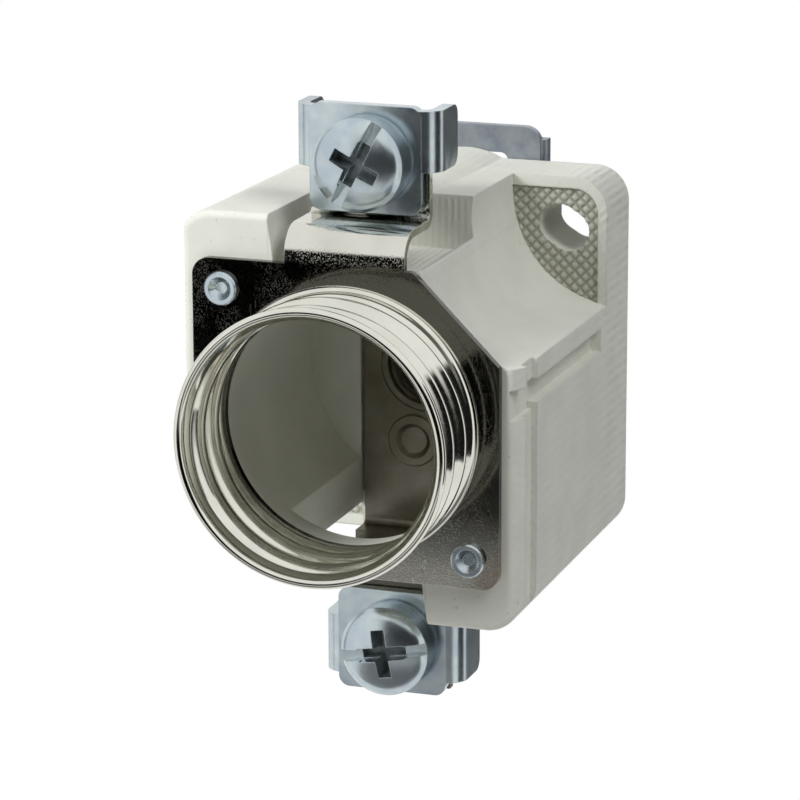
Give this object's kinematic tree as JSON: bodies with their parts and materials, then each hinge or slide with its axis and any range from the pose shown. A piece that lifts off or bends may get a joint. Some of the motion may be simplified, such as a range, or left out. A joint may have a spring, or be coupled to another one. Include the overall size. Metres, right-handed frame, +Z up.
{
  "type": "din rail fuse base",
  "caption": "Open screw-in fuse base: ceramic block with a threaded metal shell in front, a saddle clamp terminal above and below, and a spring latch for a top-hat rail behind.",
  "frame": {"origin": "fuse axis, where it meets the plane that bears on the front of the rail", "axes": "+Y along the fuse axis from the screw shell in front to the rail behind, +Z up to the upper terminal, +X to the right seen from the front"},
  "size_m": [0.036, 0.0537, 0.0636],
  "materials": {
    "steatite": "pressed and fired, unglazed, matt",
    "nickel_plated_brass": "bright nickel plate",
    "blue_zinc_steel": "blue passivated zinc",
    "dull_zinc_steel": "dull zinc",
    "spring_wire": "drawn wire"
  },
  "bodies": {
    "base": {"ceramic_body": "steatite", "screw_shell": "nickel_plated_brass", "rivet_top_left": "blue_zinc_steel", "rivet_bottom_right": "blue_zinc_steel", "foot_contact": "nickel_plated_brass", "foot_contact_rivet": "nickel_plated_brass", "gauge_screw_bush": "nickel_plated_brass", "rail_foot": "dull_zinc_steel", "latch_spring": "spring_wire", "top_nut": "blue_zinc_steel", "bottom_nut": "blue_zinc_steel"},
    "top_saddle": {"top_clamp": "blue_zinc_steel", "top_washer": "blue_zinc_steel"},
    "top_bolt": {"top_screw": "blue_zinc_steel"},
    "bottom_saddle": {"bottom_clamp": "blue_zinc_steel", "bottom_washer": "blue_zinc_steel"},
    "bottom_bolt": {"bottom_screw": "blue_zinc_steel"},
    "latch": {"rail_latch": "dull_zinc_steel"}
  },
  "joints": [
    {"name": "top_clamp_slide", "type": "slide", "parent": "base", "child": "top_saddle", "axis": [0, -1, 0], "range_m": [0, 0.0032]},
    {"name": "top_screw_turn", "type": "hinge", "parent": "top_saddle", "child": "top_bolt", "pos_m": [0, -0.0353, 0.0254], "axis": [0, -1, 0], "range_deg": [0, 1440]},
    {"name": "bottom_clamp_slide", "type": "slide", "parent": "base", "child": "bottom_saddle", "axis": [0, -1, 0], "range_m": [0, 0.0032]},
    {"name": "bottom_screw_turn", "type": "hinge", "parent": "bottom_saddle", "child": "bottom_bolt", "pos_m": [0, -0.0279, -0.0274], "axis": [0, -1, 0], "range_deg": [0, 1440]},
    {"name": "latch_slide", "type": "slide", "parent": "base", "child": "latch", "axis": [0, 0, 1], "range_m": [0, 0.003], "stiffness_N_per_m": 2000, "springref_m": -0.002, "deforming": ["latch_spring"]}
  ],
  "couplings": [
    {"joint": "top_screw_turn", "follows": "top_clamp_slide", "rad_per_m": 7853.9},
    {"joint": "bottom_screw_turn", "follows": "bottom_clamp_slide", "rad_per_m": 7853.9}
  ]
}
